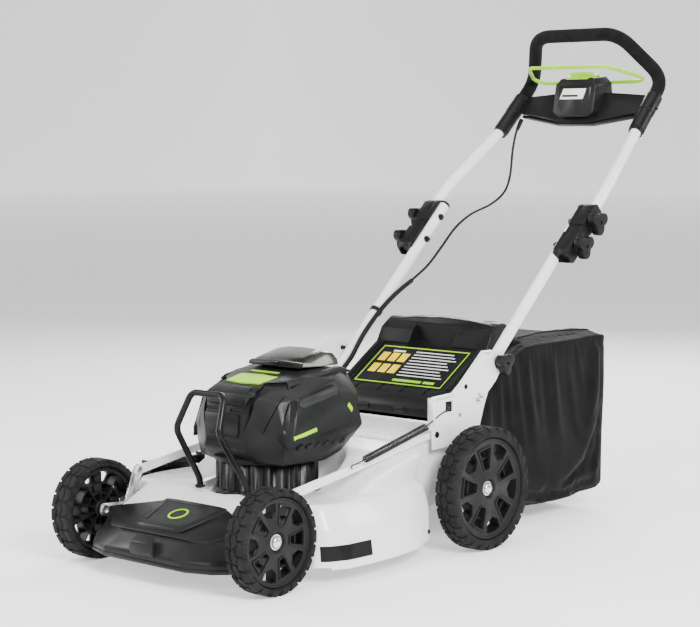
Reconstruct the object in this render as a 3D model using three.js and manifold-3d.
// Walk-behind battery lawn mower with a rear grass bag.
// Millimetres. +Z up, +X towards the mower's left side, +Y towards the handle, so the nose points to -Y.
// The group is shifted at the end so that the origin lies on the ground under the middle of the machine.
import * as THREE from 'three';
import { ConvexGeometry } from 'three/addons/geometries/ConvexGeometry.js';
import { mergeVertices } from 'three/addons/utils/BufferGeometryUtils.js';
import Module from 'manifold-3d';

const wasm = await Module();
wasm.setup();

// ---- Driving dimensions -------------------------------------------------------------------------

const MACHINE_MIDDLE = 644.7; // distance from the front axle line back to the middle of the machine
const GAP = 0.3; // clearance left between pieces that touch
const OPEN_BELOW = 20; // how far a hollow is carried down past an open bottom

const WHEEL_SIDES = 24;
const FLAT = Math.cos(Math.PI / WHEEL_SIDES); // a tyre stands on one of its flats
const FRONT_WHEEL = { radius: 101.5, rim: 84.3, inner: 221.5, outer: 270 };
const REAR_WHEEL = { radius: 128.5, rim: 104, inner: 258.7, outer: 307 };
const WHEELBASE = 583;
const FRONT_AXLE_Z = FRONT_WHEEL.radius * FLAT;
const REAR_AXLE_Z = REAR_WHEEL.radius * FLAT;
const HUB_BORE = 7;
const BOLT_SINK = 13.5; // how far the bolt head sits inside the hub's face

const CRANK_BACK = 62; // crank pivot behind its wheel's axle
const CRANK_DROP = 16; // and below it
const PIN_BACK = 23; // link pin behind the crank pivot
const PIN_RISE = 87; // and above it

const SHEET = 2; // steel sheet of the deck
const DECK_BOTTOM = 31;
const DECK_TOP = 150;
const CUTTER_Y = 240; // blade and motor centre
const BLADE_RADIUS = 240;
const BLADE_Z = 54;
const DISH_Z = 128; // floor of the dish that the motor stands in

const BRACKET_X = 222;
const BRACKET_SHEET = 3;
const PIVOT = { y: 644, z: 302 }; // handle pivot bolts in the brackets
const TUBE_RADIUS = 12.7;
const TUBE_BORE = 10.9;
const LOWER_TUBE_X = 200;
const LOWER_FOOT = { y: 629, z: 284 };
const LOWER_TOP = { y: 1044, z: 683 };
const CLAMP_Y = 991.5; // middle of the clamps, on the tubes' axis
const KNOB_SPACING = 72;
const GRIP_RADIUS = 16;
const BAIL_RADIUS = 4.4;
const CORD_RADIUS = 3;
const CONDUIT_RADIUS = 5.5;

// ---- Finishes -----------------------------------------------------------------------------------

function finish(color, roughness, metalness) {
  return new THREE.MeshStandardMaterial({ color, roughness, metalness });
}

const WHITE_PAINT = finish(0xdcdedb, 0.25, 0.1);
const DARK_PLASTIC = finish(0x2b2c2d, 0.45, 0);
const BLACK_PLASTIC = finish(0x1b1c1d, 0.5, 0);
const HUB_PLASTIC = finish(0x35373a, 0.5, 0);
const TYRE_RUBBER = finish(0x2a2b2c, 0.85, 0);
const FOAM = finish(0x1c1c1d, 0.9, 0);
const LIME = finish(0x9bd21c, 0.4, 0);
const SMOKE = finish(0x55564a, 0.2, 0);
const ZINC = finish(0xc9cbcc, 0.3, 0.9);
const STEEL = finish(0x8d8f91, 0.35, 0.9);
const COPPER = finish(0x7a4a2c, 0.5, 0.6);
const FABRIC = finish(0x202122, 0.95, 0);

// ---- Solids -------------------------------------------------------------------------------------

function solid(geometry) {
  const bare = geometry.clone();
  bare.deleteAttribute('normal');
  bare.deleteAttribute('uv');
  const merged = mergeVertices(bare, 1e-4);
  const vertProperties = new Float32Array(merged.attributes.position.array);
  const triVerts = new Uint32Array(merged.index.array);
  return new wasm.Manifold(new wasm.Mesh({ numProp: 3, vertProperties, triVerts }));
}

function geometryOf(shape) {
  const mesh = shape.getMesh();
  const geometry = new THREE.BufferGeometry();
  geometry.setAttribute('position', new THREE.BufferAttribute(new Float32Array(mesh.vertProperties), 3));
  geometry.setIndex(new THREE.BufferAttribute(new Uint32Array(mesh.triVerts), 1));
  geometry.computeVertexNormals();
  return geometry;
}

function join(...shapes) {
  return shapes.reduce((whole, shape) => whole.add(shape));
}

function cut(shape, ...tools) {
  return tools.reduce((rest, tool) => rest.subtract(tool), shape);
}

function box(x, y, z) {
  const geometry = new THREE.BoxGeometry(x[1] - x[0], y[1] - y[0], z[1] - z[0]);
  geometry.translate((x[0] + x[1]) / 2, (y[0] + y[1]) / 2, (z[0] + z[1]) / 2);
  return solid(geometry);
}

function cylinderX(radius, x0, x1, y, z, sides = 16) {
  const geometry = new THREE.CylinderGeometry(radius, radius, x1 - x0, sides);
  geometry.rotateZ(Math.PI / 2);
  geometry.translate((x0 + x1) / 2, y, z);
  return solid(geometry);
}

function cylinderZ(radius, z0, z1, x, y, sides = 16) {
  const geometry = new THREE.CylinderGeometry(radius, radius, z1 - z0, sides);
  geometry.rotateX(Math.PI / 2);
  geometry.translate(x, y, (z0 + z1) / 2);
  return solid(geometry);
}

// A flat plate whose outline is given as [y, z] points, from x0 to x1.
function plate(outline, x0, x1) {
  const shape = new THREE.Shape(outline.map(([y, z]) => new THREE.Vector2(y, z)));
  const geometry = new THREE.ExtrudeGeometry(shape, { depth: x1 - x0, bevelEnabled: false });
  geometry.applyMatrix4(new THREE.Matrix4().makeBasis(
    new THREE.Vector3(0, 1, 0), new THREE.Vector3(0, 0, 1), new THREE.Vector3(1, 0, 0)));
  geometry.translate(x0, 0, 0);
  return solid(geometry);
}

// The convex block around points given for the +X side and repeated on the other side.
function twinHull(points) {
  const both = points.flatMap(([x, y, z]) => [new THREE.Vector3(x, y, z), new THREE.Vector3(-x, y, z)]);
  return solid(new ConvexGeometry(both));
}

function hull(points) {
  return solid(new ConvexGeometry(points.map((corner) => new THREE.Vector3(...corner))));
}

// The same outline moved inwards by a wall's thickness; its lowest ring is dropped so the block opens.
function insetPoints(points, wall, middleY, openBelow) {
  return points.map(([x, y, z]) => [
    Math.max(x - wall, 0),
    y + (y < middleY ? wall : -wall),
    z <= openBelow ? z - OPEN_BELOW : z - wall,
  ]);
}

function circleShape(radius, bore = 0) {
  const shape = new THREE.Shape();
  shape.absarc(0, 0, radius, 0, Math.PI * 2);
  if (bore > 0) {
    const hole = new THREE.Path();
    hole.absarc(0, 0, bore, 0, Math.PI * 2);
    shape.holes.push(hole);
  }
  return shape;
}

// A round bar or tube along a path.
function tube(path, radius, { bore = 0, steps = 1, sides = 12 } = {}) {
  const geometry = new THREE.ExtrudeGeometry(circleShape(radius, bore), {
    steps, extrudePath: path, curveSegments: sides / 2, bevelEnabled: false,
  });
  return solid(geometry);
}

function point(x, y, z) {
  return new THREE.Vector3(x, y, z);
}

// Straight runs between the points, with each corner rounded over the given length.
function bentPath(points, corner) {
  const path = new THREE.CurvePath();
  let start = points[0];
  for (let i = 1; i < points.length - 1; i += 1) {
    const before = points[i].clone().add(
      points[i - 1].clone().sub(points[i]).setLength(corner));
    const after = points[i].clone().add(
      points[i + 1].clone().sub(points[i]).setLength(corner));
    path.add(new THREE.LineCurve3(start, before));
    path.add(new THREE.QuadraticBezierCurve3(before, points[i], after));
    start = after;
  }
  path.add(new THREE.LineCurve3(start, points[points.length - 1]));
  return path;
}

// ---- Placing ------------------------------------------------------------------------------------

const mower = new THREE.Group();
mower.position.y = -MACHINE_MIDDLE;

function add(name, material, shape) {
  const mesh = new THREE.Mesh(geometryOf(shape), material);
  mesh.name = name;
  mower.add(mesh);
  return mesh;
}

function mirrorX(shape) {
  return shape.mirror([1, 0, 0]);
}

const SIDES = [{ side: 'left', sign: 1 }, { side: 'right', sign: -1 }];

// Adds one copy on each side; the shape is given for +X.
function addBoth(name, material, shape) {
  for (const { side, sign } of SIDES) {
    add(`${name}_${side}`, material, sign > 0 ? shape : mirrorX(shape));
  }
}

// ---- Wheels -------------------------------------------------------------------------------------

// A body of revolution about the X axis through (y, z); the profile holds [radius, x] points.
function turned(profile, y, z, sides = WHEEL_SIDES) {
  const closed = [...profile, profile[0]].map(([radius, x]) => new THREE.Vector2(radius, x));
  const geometry = new THREE.LatheGeometry(closed, sides, Math.PI / sides);
  geometry.rotateZ(-Math.PI / 2);
  geometry.translate(0, y, z);
  const shape = solid(geometry);
  return shape.volume() > 0 ? shape : solid(flipped(geometry));
}

function flipped(geometry) {
  const index = geometry.index.array;
  for (let i = 0; i < index.length; i += 3) {
    [index[i], index[i + 1]] = [index[i + 1], index[i]];
  }
  return geometry;
}

function tyreShape({ radius, rim, inner, outer }, y, z) {
  const shoulder = 9;
  return turned([
    [rim, inner + 4],
    [radius - shoulder * 1.3, inner],
    [radius - 2, inner + shoulder],
    [radius, inner + shoulder + 4],
    [radius, outer - shoulder - 4],
    [radius - 2, outer - shoulder],
    [radius - shoulder * 1.3, outer],
    [rim, outer - 4],
  ], y, z);
}

function hubShape({ rim, inner, outer }, y, z) {
  const edge = rim - GAP;
  const face = outer - 8;
  const web = face - 6;
  const disc = turned([
    [HUB_BORE, inner + 6],
    [18, inner + 6],
    [18, web],
    [edge - 10, web],
    [edge - 7, inner + 7],
    [edge, inner + 7],
    [edge, outer - 5],
    [edge - 9, face],
    [24, face],
    [18, outer - BOLT_SINK],
    [HUB_BORE, outer - BOLT_SINK],
  ], y, z);
  const openings = [];
  for (let i = 0; i < 10; i += 1) {
    const turn = (i * Math.PI) / 5;
    const wide = i % 2 === 0;
    const low = wide ? rim * 0.62 : rim * 0.4;
    const high = rim * 0.84;
    const lowHalf = wide ? rim * 0.1 : rim * 0.06;
    const highHalf = wide ? rim * 0.19 : rim * 0.09;
    const outline = [[low, -lowHalf], [high, -highHalf], [high, highHalf], [low, lowHalf]];
    openings.push(plate(outline.map(([along, across]) => [
      y + along * Math.cos(turn) - across * Math.sin(turn),
      z + along * Math.sin(turn) + across * Math.cos(turn),
    ]), web - 5, face + 5));
  }
  return cut(disc, ...openings);
}

function wheelBolt({ inner, outer }, y, z) {
  const seat = outer - BOLT_SINK + GAP;
  return join(
    cylinderX(HUB_BORE - GAP, inner, seat + 1, y, z),
    cylinderX(11, seat, seat + 7, y, z, 12),
  );
}

for (const [end, wheel, y, z] of [
  ['front', FRONT_WHEEL, 0, FRONT_AXLE_Z],
  ['rear', REAR_WHEEL, WHEELBASE, REAR_AXLE_Z],
]) {
  addBoth(`tyre_${end}`, TYRE_RUBBER, tyreShape(wheel, y, z));
  addBoth(`hub_${end}`, HUB_PLASTIC, hubShape(wheel, y, z));
  addBoth(`wheel_bolt_${end}`, ZINC, wheelBolt(wheel, y, z));
}

// ---- Height adjustment --------------------------------------------------------------------------

const CRANK_X = [217.5, 221];
const FRONT_PIVOT = { y: CRANK_BACK, z: FRONT_AXLE_Z - CRANK_DROP };
const REAR_PIVOT = { y: WHEELBASE + CRANK_BACK, z: REAR_AXLE_Z - CRANK_DROP };

function crankPlate(axleY, axleZ) {
  const pivotY = axleY + CRANK_BACK;
  const pivotZ = axleZ - CRANK_DROP;
  const pinY = pivotY + PIN_BACK;
  const pinZ = pivotZ + PIN_RISE;
  return plate([
    [axleY - 12, axleZ - 8],
    [pivotY - 4, pivotZ - 14],
    [pivotY + 13, pivotZ - 6],
    [pinY + 11, pinZ + 2],
    [pinY + 2, pinZ + 11],
    [pinY - 10, pinZ + 4],
    [pivotY - 10, pivotZ + 26],
    [axleY - 4, axleZ + 13],
  ], ...CRANK_X);
}

const frontCrank = cut(
  join(
    crankPlate(0, FRONT_AXLE_Z),
    cylinderX(5, 209, 219, FRONT_PIVOT.y, FRONT_PIVOT.z),
    cylinderX(4, 212, 219, FRONT_PIVOT.y + PIN_BACK, FRONT_PIVOT.z + PIN_RISE, 12),
  ),
  cylinderX(HUB_BORE, 210, 225, 0, FRONT_AXLE_Z),
);
addBoth('front_crank', ZINC, frontCrank);

const rearArm = cut(
  join(
    crankPlate(WHEELBASE, REAR_AXLE_Z),
    cylinderX(13, 219, REAR_WHEEL.inner - 1, WHEELBASE, REAR_AXLE_Z),
    cylinderX(4, 212, 219, REAR_PIVOT.y + PIN_BACK, REAR_PIVOT.z + PIN_RISE, 12),
  ),
  cylinderX(HUB_BORE, 210, 270, WHEELBASE, REAR_AXLE_Z),
);
const HEIGHT_LEVER_X = [-236, -232];
const leverStem = hull([-1, 1].flatMap((end) => [
  [HEIGHT_LEVER_X[0], REAR_PIVOT.y - 8 * end, REAR_PIVOT.z],
  [HEIGHT_LEVER_X[1], REAR_PIVOT.y - 8 * end, REAR_PIVOT.z],
  [HEIGHT_LEVER_X[0], 560 - 7 * end, 300],
  [HEIGHT_LEVER_X[1], 560 - 7 * end, 300],
]));
add('rear_axle', ZINC, join(
  rearArm,
  mirrorX(rearArm),
  cylinderX(5, -236, 219, REAR_PIVOT.y, REAR_PIVOT.z),
  leverStem,
));
add('height_lever_grip', BLACK_PLASTIC, cut(
  hull([-1, 1].flatMap((end) => [
    [-242, 560 - 12 * end, 285],
    [-227, 560 - 12 * end, 285],
    [-242, 552 - 13 * end, 340],
    [-227, 552 - 13 * end, 340],
  ])),
  box([HEIGHT_LEVER_X[0] - GAP, HEIGHT_LEVER_X[1] + GAP], [500, 700], [200, 300 + GAP]),
));

// The flat link bar runs up beside the deck's shoulder and bends down behind the bracket.
const LINK_X = [212.3, 216.3];
const linkFront = { y: FRONT_PIVOT.y + PIN_BACK, z: FRONT_PIVOT.z + PIN_RISE };
const linkRear = { y: REAR_PIVOT.y + PIN_BACK, z: REAR_PIVOT.z + PIN_RISE };
const LINK_HALF = 6;
const PIN_RADIUS = 4;
const LINK_CREST = { y: 500, z: 239 };
const linkBar = cut(
  plate([
    [linkFront.y - 10, linkFront.z - 7],
    [linkFront.y + 6, linkFront.z - 9],
    [LINK_CREST.y, LINK_CREST.z - LINK_HALF],
    [linkRear.y + 2, linkRear.z - 11],
    [linkRear.y + 11, linkRear.z + 2],
    [LINK_CREST.y + 60, LINK_CREST.z + 4],
    [LINK_CREST.y, LINK_CREST.z + LINK_HALF],
    [linkFront.y - 6, linkFront.z + 8],
  ], ...LINK_X),
  cylinderX(PIN_RADIUS + 0.6, 200, 230, linkFront.y, linkFront.z, 12),
  cylinderX(PIN_RADIUS + 0.6, 200, 230, linkRear.y, linkRear.z, 12),
);
addBoth('link_bar', WHITE_PAINT, linkBar);

// Counterbalance spring between the left link bar and the left bracket, with its hooked ends.
const springHook = bentPath([
  point(228, 462, 260), point(228, 512, 281), point(228, 545, 291), point(214, 546, 294),
], 5);
add('height_spring', BLACK_PLASTIC, join(
  tube(new THREE.LineCurve3(point(228, 243, 206), point(228, 284, 217.5)), 1.5, { sides: 6 }),
  tube(springHook, 1.5, { steps: 14, sides: 6 }),
  tube(new THREE.LineCurve3(point(228, 280, 216.8), point(228, 466, 260.7)), 8, { sides: 12 }),
));

const DISCHARGE = { y: [160, 300], top: 118 }; // opening in the deck's right wall

// ---- Deck ---------------------------------------------------------------------------------------

function ring(outline, z) {
  return outline.map(([x, y]) => [x, y, z]);
}

const CHAMBER = [
  ...ring([[258, 99], [282, 122], [298, 165], [299, 230], [296, 285], [287, 345], [276, 388],
    [262, 404], [250, 414], [250, 452], [222, 478], [150, 500]], DECK_BOTTOM),
  ...ring([[258, 106], [276, 126], [286, 165], [288, 230], [285, 285], [277, 345], [266, 388],
    [248, 416], [248, 452], [220, 478], [150, 498]], 105),
  ...ring([[232, 110], [252, 130], [262, 170], [264, 230], [258, 290], [250, 350], [240, 400],
    [235, 446], [150, 485]], DECK_TOP),
];
const NOSE = [
  ...ring([[150, -62], [200, -20], [206, 30], [206, 200]], DECK_BOTTOM),
  [206, 200, 145], [206, 110, 145], [200, 100, 146],
  [190, 40, 124], [180, 0, 112], [140, -38, 96],
];
const RAMP = [
  ...ring([[190, 250], [190, 452]], 60),
  [236, 250, 148], [236, 311, 180], [236, 372, 196], [232, 440, 208], [230, 452, 209],
  [190, 250, 152], [190, 311, 190], [190, 372, 214], [190, 440, 226], [190, 452, 227],
];
const TUNNEL = [
  [206, 440, 60], [206, 440, 222], [206, 600, 248], [206, 600, 118],
];

// A block across the whole width, from points on the +X side.
function deckBlock(points) {
  return twinHull(points.concat(points.map(([, y, z]) => [0, y, z])));
}

const deckOuter = join(deckBlock(CHAMBER), deckBlock(NOSE), deckBlock(RAMP), deckBlock(TUNNEL));
const tunnelInside = [
  [206 - SHEET, 430, 60 + SHEET], [206 - SHEET, 430, 220 - SHEET],
  [206 - SHEET, 640, 254.5 - SHEET], [206 - SHEET, 640, 132.5 + SHEET],
];
const deckInner = join(
  deckBlock(insetPoints(CHAMBER, SHEET, 250, DECK_BOTTOM)),
  deckBlock(insetPoints(NOSE, SHEET, 300, DECK_BOTTOM)),
  deckBlock(insetPoints(RAMP, SHEET, 200, 0)),
  deckBlock(tunnelInside),
);

// A bowl around the motor, widening upwards.
function dish(floor, wall) {
  const geometry = new THREE.CylinderGeometry(190 + wall, 122 + wall, 140, 32);
  geometry.rotateX(Math.PI / 2);
  geometry.translate(0, CUTTER_Y, floor + 70);
  return solid(geometry);
}

const pivotEar = plate([
  [580, 92], [REAR_PIVOT.y + 14, REAR_PIVOT.z - 14], [REAR_PIVOT.y + 14, REAR_PIVOT.z + 14],
  [590, 190], [580, 190],
], 204, 206);
const deckSolid = cut(
  join(cut(deckOuter, dish(DISH_Z, 0), cut(deckInner, dish(DISH_Z - SHEET, SHEET))),
    pivotEar, mirrorX(pivotEar)),
  cylinderZ(30, 100, 200, 0, CUTTER_Y, 24),
  cylinderX(6, -230, 230, REAR_PIVOT.y, REAR_PIVOT.z),
  box([-320, -230], DISCHARGE.y, [20, DISCHARGE.top]),
);
add('deck_shell', WHITE_PAINT, deckSolid);

// ---- Nose cover ---------------------------------------------------------------------------------

const BUMPER = [
  ...ring([[110, -98], [165, -78], [200, -40], [205, 20], [200, 44]], 36),
  ...ring([[112, -100], [167, -80], [203, -40], [208, 10], [206, 46]], 58),
  [90, -72, 90], [130, -60, 88], [178, -20, 104], [196, 30, 118],
  [190, 52, 124], [100, 56, 130], [60, -50, 98],
];
const bumperHollow = NOSE.flatMap(([x, y, z]) => [
  [x + 1, y - 1, z + 1], [x + 1, y - 1, Math.min(z, 20)],
]);
const nosePlate = deckBlock([
  [62, -50, 97], [72, 40, 128.5], [62, -52, 106], [72, 40, 137.5], [80, 10, 120.5], [80, 10, 128],
]);
add('nose_cover', DARK_PLASTIC, cut(
  join(deckBlock(BUMPER), nosePlate),
  deckBlock(bumperHollow),
  box([-150, 150], [-70, 60], [20, 34]),
  box([-250, 250], [44, 80], [20, 110]),
));

// ---- Motor --------------------------------------------------------------------------------------

const MOTOR_TOP = 204;
const finOutline = [];
const FINS = 22;
for (let i = 0; i < FINS * 4; i += 1) {
  const turn = ((i + 0.5) * Math.PI) / (FINS * 2);
  const radius = i % 4 < 2 ? 104 : 97;
  finOutline.push(new THREE.Vector2(radius * Math.cos(turn), radius * Math.sin(turn)));
}
const finShape = new THREE.Shape(finOutline);
const motorBore = new THREE.Path();
motorBore.absarc(0, 0, 91, 0, Math.PI * 2);
finShape.holes.push(motorBore);
const finRing = new THREE.ExtrudeGeometry(finShape, {
  depth: MOTOR_TOP - DISH_Z - 1, bevelEnabled: false, curveSegments: 12,
});
finRing.translate(0, CUTTER_Y, DISH_Z + GAP);
const footProfile = [
  [90, DISH_Z + GAP], [118, DISH_Z + GAP], [118, DISH_Z + 4], [103, DISH_Z + 18], [90, DISH_Z + 18],
];
const footGeometry = new THREE.LatheGeometry(
  [...footProfile, footProfile[0]].map(([radius, z]) => new THREE.Vector2(radius, z)), 28);
footGeometry.rotateX(Math.PI / 2);
footGeometry.translate(0, CUTTER_Y, 0);
const footSolid = solid(footGeometry);
add('motor_casing', BLACK_PLASTIC, join(solid(finRing), footSolid));

add('motor_stator', COPPER, cut(
  cylinderZ(84, 146, 192, 0, CUTTER_Y, 20),
  cylinderZ(52, 140, 200, 0, CUTTER_Y, 20),
));
add('motor_rotor', STEEL, join(
  cylinderZ(49, 147, 191, 0, CUTTER_Y, 20),
  cylinderZ(10, BLADE_Z + 3, 198, 0, CUTTER_Y, 14),
  cylinderZ(24, BLADE_Z + 3, BLADE_Z + 16, 0, CUTTER_Y, 16),
));

// The blade has sharpened ends whose back edges are turned up as sails.
const BLADE_WIDTH = 56;
const bladeBar = box([-BLADE_RADIUS + 3, BLADE_RADIUS - 3],
  [CUTTER_Y - BLADE_WIDTH / 2, CUTTER_Y + BLADE_WIDTH / 2], [BLADE_Z - 2, BLADE_Z + 2]);
const sail = hull([
  [150, CUTTER_Y + 12, BLADE_Z], [235, CUTTER_Y + 12, BLADE_Z], [150, CUTTER_Y + 28, BLADE_Z + 2],
  [235, CUTTER_Y + 28, BLADE_Z + 2], [165, CUTTER_Y + 30, BLADE_Z + 18], [232, CUTTER_Y + 30, BLADE_Z + 18],
  [165, CUTTER_Y + 27, BLADE_Z + 18], [232, CUTTER_Y + 27, BLADE_Z + 18],
]);
function halfTurn(shape) {
  return shape.translate([0, -CUTTER_Y, 0]).rotate([0, 0, 180]).translate([0, CUTTER_Y, 0]);
}
add('blade', STEEL, cut(join(bladeBar, sail, halfTurn(sail)), cylinderZ(6, 40, 70, 0, CUTTER_Y, 12)));
add('blade_bolt', ZINC, join(
  cylinderZ(5.5, BLADE_Z - 4, BLADE_Z + 2.7, 0, CUTTER_Y, 12),
  cylinderZ(20, BLADE_Z - 5, BLADE_Z - 2.3, 0, CUTTER_Y, 16),
  cylinderZ(10, BLADE_Z - 13, BLADE_Z - 5, 0, CUTTER_Y, 6),
));

// ---- Motor housing and battery ------------------------------------------------------------------

const HOUSING = [
  [48, 115, 252], [48, 116, 300], [54, 128, 346], [86, 136, 265], [60, 122, 232], [70, 150, MOTOR_TOP],
  [118, 166, MOTOR_TOP], [128, 160, 270], [104, 168, 330], [138, 200, 250], [138, 275, 226],
  [125, 275, MOTOR_TOP],
  [138, 376, 268], [138, 352, 332], [126, 300, 364], [126, 200, 334], [100, 345, 383], [100, 250, 372],
  [64, 266, 379], [64, 345, 383], [56, 180, 362], [115, 385, 330], [118, 390, 268],
  [110, 340, 214], [90, 380, 372],
];
const HOUSING_WALL = 3;
const HOUSING_MIDDLE = 250;
const housingOuter = deckBlock(HOUSING);
const housingInner = deckBlock(insetPoints(HOUSING, HOUSING_WALL, HOUSING_MIDDLE, MOTOR_TOP));
const WELL = { x: 58, y: [272, 352] };
add('motor_housing', DARK_PLASTIC, cut(
  housingOuter,
  housingInner,
  box([-WELL.x, WELL.x], WELL.y, [350, 400]),
));

const LID_Z = 384;
const LID = [
  [68, 268, LID_Z], [66, 280, 397], [62, 337, 412], [58, 352, 412], [70, 262, 386],
  [74, 372, LID_Z], [70, 372, 396], [62, 366, 408], [74, 330, LID_Z],
].map(([x, y, z]) => [x, y, Math.max(z, LID_Z) + GAP]);
const lidHollow = deckBlock([
  [60, 276, 370], [58, 286, 394], [54, 337, 408], [50, 352, 408], [60, 360, 370], [60, 360, 400],
]);
add('battery_lid', SMOKE, cut(deckBlock(LID), lidHollow));

const PACK = { x: 48, y: [292, 346], z: [226, 386] };
add('battery_pack', BLACK_PLASTIC, join(
  box([-PACK.x, PACK.x], PACK.y, PACK.z),
  box([-30, 30], [306, 330], [PACK.z[1] - 1, PACK.z[1] + 9]),
));

// ---- Front guard hoop ---------------------------------------------------------------------------

const hoopPath = bentPath([
  point(66, 116, 150.6), point(66, 116, 166), point(60, 46, 276), point(46, 76, 346),
  point(-46, 76, 346), point(-60, 46, 276), point(-66, 116, 166), point(-66, 116, 150.6),
], 7);
add('guard_hoop', BLACK_PLASTIC, tube(hoopPath, 6.5, { steps: 32, sides: 8 }));

// ---- Handle brackets ----------------------------------------------------------------------------

const bracketOutline = [
  [492, 210], [489, 268], [482, 308], [490, 318], [553, 321], [579, 339], [652, 400], [679, 400],
  [724, 392], [730, 372], [700, 334], [673, 312], [660, 285], [646, 245], [640, 215],
];
const bracketPlate = cut(
  plate(bracketOutline, BRACKET_X, BRACKET_X + BRACKET_SHEET),
  box([200, 240], [532, 556], [283, 305]),
  cylinderX(5, 200, 240, 581, 272, 12),
  cylinderX(5.5, 200, 240, PIVOT.y, PIVOT.z),
  cylinderX(5.5, 200, 240, 710, 371),
);
const bracketFlange = box([213.5, BRACKET_X + BRACKET_SHEET], [489, 492], [250, 316]);
const bracketFoot = box([206 + GAP, BRACKET_X + 1], [520, 560], [256, 259]);
addBoth('handle_bracket', WHITE_PAINT, join(bracketPlate, bracketFlange, bracketFoot));

addBoth('pivot_bolt', ZINC, join(
  cylinderX(4.5, LOWER_TUBE_X - TUBE_RADIUS - 6, BRACKET_X + 9, PIVOT.y, PIVOT.z, 12),
  cylinderX(9, BRACKET_X + BRACKET_SHEET + GAP, BRACKET_X + 10, PIVOT.y, PIVOT.z, 12),
));

// A hand knob with lobes around its rim, facing +X, and the screw that it turns.
function lobedKnob(y, z, x0, x1, radius, screwTo) {
  const outline = [];
  for (let i = 0; i < 12; i += 1) {
    const turn = (i * Math.PI) / 6;
    const reach = i % 2 === 0 ? radius : radius * 0.76;
    outline.push([y + reach * Math.cos(turn), z + reach * Math.sin(turn)]);
  }
  return join(plate(outline, x0, x1), cylinderX(4, screwTo, x0 + 1, y, z, 10));
}

addBoth('bracket_knob', BLACK_PLASTIC,
  lobedKnob(710, 371, BRACKET_X + BRACKET_SHEET + GAP, BRACKET_X + 29, 25, LOWER_TUBE_X + TUBE_RADIUS + 2));

// ---- Lower handle tubes -------------------------------------------------------------------------

const HANDLE_RISE = Math.atan2(LOWER_TOP.z - LOWER_FOOT.z, LOWER_TOP.y - LOWER_FOOT.y);
const alongHandle = { y: Math.cos(HANDLE_RISE), z: Math.sin(HANDLE_RISE) };
const CLAMP_Z = LOWER_FOOT.z + (CLAMP_Y - LOWER_FOOT.y) * Math.tan(HANDLE_RISE);

// A point beside the clamp's middle, measured along the tubes and square to them.
function alongClamp(along, across) {
  return [
    CLAMP_Y + along * alongHandle.y - across * alongHandle.z,
    CLAMP_Z + along * alongHandle.z + across * alongHandle.y,
  ];
}

const CLAMP_KNOBS = [-0.5, 0.5].map((share) => {
  const [y, z] = alongClamp(share * KNOB_SPACING, 0);
  return { y, z };
});

const lowerRun = new THREE.LineCurve3(
  point(LOWER_TUBE_X, LOWER_FOOT.y, LOWER_FOOT.z), point(LOWER_TUBE_X, LOWER_TOP.y, LOWER_TOP.z));
const lowerBar = cut(
  tube(lowerRun, TUBE_RADIUS, { bore: TUBE_BORE, sides: 16 }),
  cylinderX(5, 150, 250, PIVOT.y, PIVOT.z, 12),
  ...CLAMP_KNOBS.map(({ y, z }) => cylinderX(4.6, 150, 250, y, z, 12)),
);
addBoth('lower_tube', WHITE_PAINT, lowerBar);

// ---- Clamps between the lower and upper tubes -----------------------------------------------------

const UPPER_TUBE_X = 229;
const CLAMP_SPLIT = (LOWER_TUBE_X + UPPER_TUBE_X) / 2; // the two halves meet between the tubes
const CLAMP_FACE = UPPER_TUBE_X + 15;
const CLAMP_SCREW = 4; // radius of the knobs' screws
const SCREW_HOLE = CLAMP_SCREW + 0.6;
const clampBlock = plate([
  alongClamp(-74, -16), alongClamp(70, -18), alongClamp(78, -8),
  alongClamp(78, 14), alongClamp(68, 20), alongClamp(-66, 19), alongClamp(-78, 10), alongClamp(-80, -8),
], LOWER_TUBE_X + 2, CLAMP_FACE);
const clampChannels = [LOWER_TUBE_X, UPPER_TUBE_X].map((x) => {
  const [y0, z0] = alongClamp(-200, 0);
  const [y1, z1] = alongClamp(200, 0);
  return tube(new THREE.LineCurve3(point(x, y0, z0), point(x, y1, z1)), TUBE_RADIUS + 0.5, { sides: 16 });
});
const clampHoles = CLAMP_KNOBS.map(({ y, z }) => cylinderX(SCREW_HOLE, 150, 260, y, z, 12));
const clampBody = cut(clampBlock, ...clampChannels, ...clampHoles);
const clampSide = (x0, x1) => box([x0, x1], [CLAMP_Y - 150, CLAMP_Y + 150], [CLAMP_Z - 150, CLAMP_Z + 150]);
addBoth('tube_clamp_inner', BLACK_PLASTIC, cut(clampBody, clampSide(CLAMP_SPLIT - 0.2, 300)));
addBoth('tube_clamp_outer', BLACK_PLASTIC, cut(clampBody, clampSide(100, CLAMP_SPLIT + 0.2)));

// The lower knobs' screws go right through and are the fold's pivot; the upper ones end in the outer halves.
const SCREW_ENDS = { lower: LOWER_TUBE_X - TUBE_RADIUS - 8, upper: CLAMP_SPLIT + 1 };
Object.entries(SCREW_ENDS).forEach(([place, screwTo], i) => {
  const { y, z } = CLAMP_KNOBS[i];
  addBoth(`clamp_knob_${place}`, BLACK_PLASTIC,
    lobedKnob(y, z, CLAMP_FACE + GAP, CLAMP_FACE + 26, 29, screwTo));
});

// ---- Upper handle -------------------------------------------------------------------------------

// From the clamp up one side, round the top bar and down the other side.
function handleRun(points, corner) {
  const left = points.map(([x, y, z]) => point(x, y, z));
  const right = points.map(([x, y, z]) => point(-x, y, z)).reverse();
  return bentPath([...left, ...right], corner);
}

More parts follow.
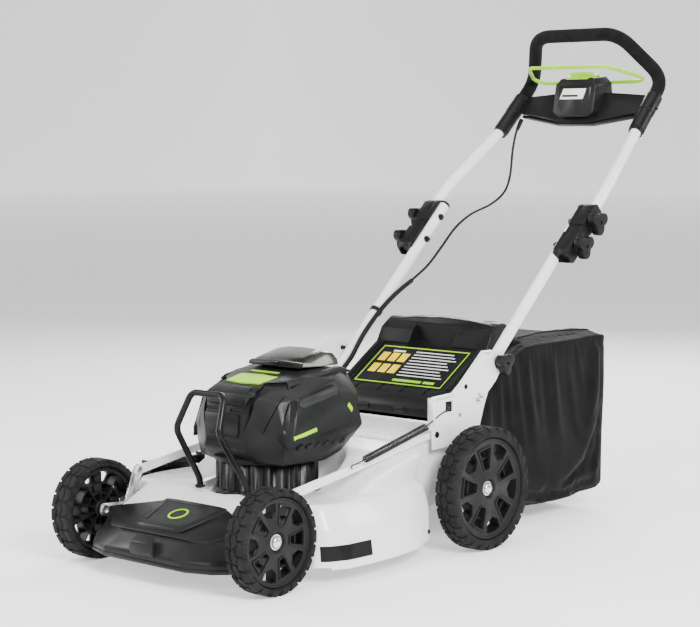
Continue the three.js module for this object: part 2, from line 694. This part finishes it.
const [upperFootY, upperFootZ] = alongClamp(-70, 0);
const GRIP_START = [196, 1262, 863];
const upperPoints = [
  [UPPER_TUBE_X, upperFootY, upperFootZ],
  [UPPER_TUBE_X, 1088, 725],
  GRIP_START,
  [188, 1382, 982],
  [118, 1294, 1086],
];
const upperBar = cut(
  tube(handleRun(upperPoints, 26), TUBE_RADIUS, { bore: TUBE_BORE, steps: 30, sides: 10 }),
  ...CLAMP_KNOBS.map(({ y, z }) => cylinderX(SCREW_HOLE, -300, 300, y, z, 12)),
);
add('upper_handle', WHITE_PAINT, upperBar);

const gripPath = handleRun([GRIP_START, [188, 1382, 982], [118, 1294, 1086]], 26);
add('grip_sleeve', FOAM, cut(
  tube(gripPath, GRIP_RADIUS, { steps: 26, sides: 10 }),
  tube(handleRun(upperPoints, 26), TUBE_RADIUS + 0.6, { steps: 30, sides: 10 }),
));

// ---- Control panel ------------------------------------------------------------------------------

// The panel spans the upper handle just below the bail and ends in a collar around each grip.
const collarAt = { y: 1332, z: 932 };
const collarSpan = [-17, 17].map((along) => point(
  191.5 - along * 0.04, collarAt.y + along * alongHandle.y, collarAt.z + along * alongHandle.z));
const collar = tube(new THREE.LineCurve3(...collarSpan), GRIP_RADIUS + 4, { sides: 12 });
const panelBar = deckBlock([
  [172, 1308, 903], [172, 1341, 944], [176, 1320, 898], [176, 1352, 938],
  [90, 1296, 893], [90, 1332, 950], [90, 1330, 886], [90, 1360, 936],
  [40, 1288, 880], [40, 1330, 952], [40, 1330, 872], [40, 1366, 930],
]);
const gripRoom = tube(gripPath, GRIP_RADIUS + 0.5, { steps: 26, sides: 10 });
const controlRoom = deckBlock([
  [60, 1270, 884], [60, 1290, 1010], [60, 1372, 1010], [60, 1345, 884], [60, 1372, 930],
]);
add('control_panel', BLACK_PLASTIC, cut(
  cut(join(panelBar, collar, mirrorX(collar)), gripRoom),
  controlRoom,
));

const CONTROL_BOX = [
  [59.5, 1279, 905], [40, 1276, 893], [59.5, 1292, 970], [48, 1298, 985], [48, 1352, 992],
  [59.5, 1360, 975], [59.5, 1366, 935], [40, 1352, 893], [59.5, 1340, 900],
];
const BUTTON = { x: 27, y: [1306, 1334], top: 1000 };
add('control_box', DARK_PLASTIC, cut(
  deckBlock(CONTROL_BOX),
  box([-BUTTON.x - 0.6, BUTTON.x + 0.6], [BUTTON.y[0] - 0.6, BUTTON.y[1] + 0.6], [968, 1010]),
  cylinderX(BAIL_RADIUS + 0.9, -80, 80, 1361, 976, 10),
));
add('start_button', LIME, box([-BUTTON.x, BUTTON.x], BUTTON.y, [976, BUTTON.top]));

// The bail turns in the control box's ends; its bar reaches forward over the panel.
const bailHalf = [
  [56, 1361, 976], [140, 1361, 976], [160, 1342, 985], [112, 1257, 1010], [0, 1257, 1010],
];
const bailLeft = bailHalf.map(([x, y, z]) => point(x, y, z));
const bailRight = bailHalf.slice(0, -1).map(([x, y, z]) => point(-x, y, z)).reverse();
const bailPath = bentPath([...bailLeft.slice(0, -1), ...bailRight], 9);
add('bail_lever', LIME, tube(bailPath, BAIL_RADIUS, { steps: 34, sides: 8 }));

// ---- Control cable ------------------------------------------------------------------------------

// The cable leaves the panel's right end, bows out beside the handle, joins a wider conduit and ends
// behind the motor housing.
const CABLE_JOIN = point(-180, 905, 516);
const cableUpper = new THREE.CatmullRomCurve3([
  point(-183, 1322, 886), point(-184, 1304, 858), point(-186, 1292, 812), point(-187, 1284, 752),
  point(-183, 1256, 712), point(-180, 1200, 684), point(-178, 1120, 662), point(-177, 1060, 632),
  point(-177, 1010, 590), point(-178, 960, 548), CABLE_JOIN,
]);
const cableLower = new THREE.CatmullRomCurve3([
  point(-180, 903, 514.5), point(-180, 860, 494), point(-180, 812, 466), point(-180, 770, 434),
  point(-179, 730, 398), point(-176, 690, 354), point(-173, 645, 322), point(-171, 600, 302),
  point(-164, 550, 288), point(-140, 495, 284), point(-104, 450, 290), point(-76, 415, 298),
  point(-68, 392.5, 300),
]);
add('cable_upper', BLACK_PLASTIC, tube(cableUpper, CORD_RADIUS, { steps: 36, sides: 8 }));
add('cable_lower', BLACK_PLASTIC, tube(cableLower, CONDUIT_RADIUS, { steps: 26, sides: 8 }));

// ---- Rear flap ----------------------------------------------------------------------------------

const FLAP_PIVOT = { y: 597, z: 268, radius: 4 };
const flapProfile = [
  [592, 256], [607, 252], [650, 284], [757, 362], [812, 424], [822, 436], [815, 443],
  [800, 440], [770, 420], [753, 389], [635, 312], [612, 300], [598, 288], [589, 272],
];
const flapSlab = plate(flapProfile, -158, 158);
add('rear_flap', BLACK_PLASTIC, cut(
  flapSlab,
  box([-87, 87], [764, 806], [350, 450]),
  box([-150, 150], [600, 745], [230, 282]),
  cylinderX(FLAP_PIVOT.radius + 0.5, -200, 200, FLAP_PIVOT.y, FLAP_PIVOT.z, 12),
));
add('flap_rod', ZINC, cylinderX(FLAP_PIVOT.radius, -209, 209, FLAP_PIVOT.y, FLAP_PIVOT.z, 12));

// ---- Side discharge flap ------------------------------------------------------------------------

const SIDE_ROD = { x: -270, z: 166, radius: 2.5 };
function rodY(radius, x, z, y0, y1, sides = 10) {
  return tube(new THREE.LineCurve3(point(x, y0, z), point(x, y1, z)), radius, { sides });
}
add('side_flap_rod', ZINC,
  rodY(SIDE_ROD.radius, SIDE_ROD.x, SIDE_ROD.z, DISCHARGE.y[0] - 10, DISCHARGE.y[1] + 10));
const sideFlap = join(
  rodY(6, SIDE_ROD.x, SIDE_ROD.z, 158, 302),
  hull([156, 304].flatMap((y) => [
    [-272, y, 160], [-276, y, 166], [-301.5, y, 58], [-306, y, 60], [-292, y, 118], [-297, y, 120],
  ])),
);
add('side_flap', BLACK_PLASTIC, cut(sideFlap, rodY(SIDE_ROD.radius + 0.5, SIDE_ROD.x, SIDE_ROD.z, 100, 400)));

// ---- Grass bag ----------------------------------------------------------------------------------

const BAG_FRONT = 668;
const BAG = [
  [186, BAG_FRONT, 126], [190, BAG_FRONT + 60, 60], [196, 860, 40], [196, 930, 32],
  [196, 1120, 40], [192, 1148, 48], [196, 1152, 300], [192, 1158, 398], [150, 1155, 410],
  [190, 740, 336], [190, BAG_FRONT, 280], [190, 845, 396], [150, 880, 412], [120, 1130, 416],
];
const BAG_WALL = 2;
const bagOuter = deckBlock(BAG);
const bagInner = deckBlock(BAG.map(([x, y, z]) => [
  x - BAG_WALL, y < BAG_FRONT + 1 ? y + BAG_WALL : y - BAG_WALL, z > 200 ? z - BAG_WALL : z + BAG_WALL]));
const mouth = box([-150, 150], [BAG_FRONT - 10, BAG_FRONT + 5], [138, 258]);
add('bag_fabric', FABRIC, cut(bagOuter, bagInner, mouth));
add('bag_frame', BLACK_PLASTIC, cut(
  box([-170, 170], [BAG_FRONT - 14, BAG_FRONT - GAP], [128, 274]),
  box([-150, 150], [BAG_FRONT - 30, BAG_FRONT + 10], [138, 258]),
));

export default mower;
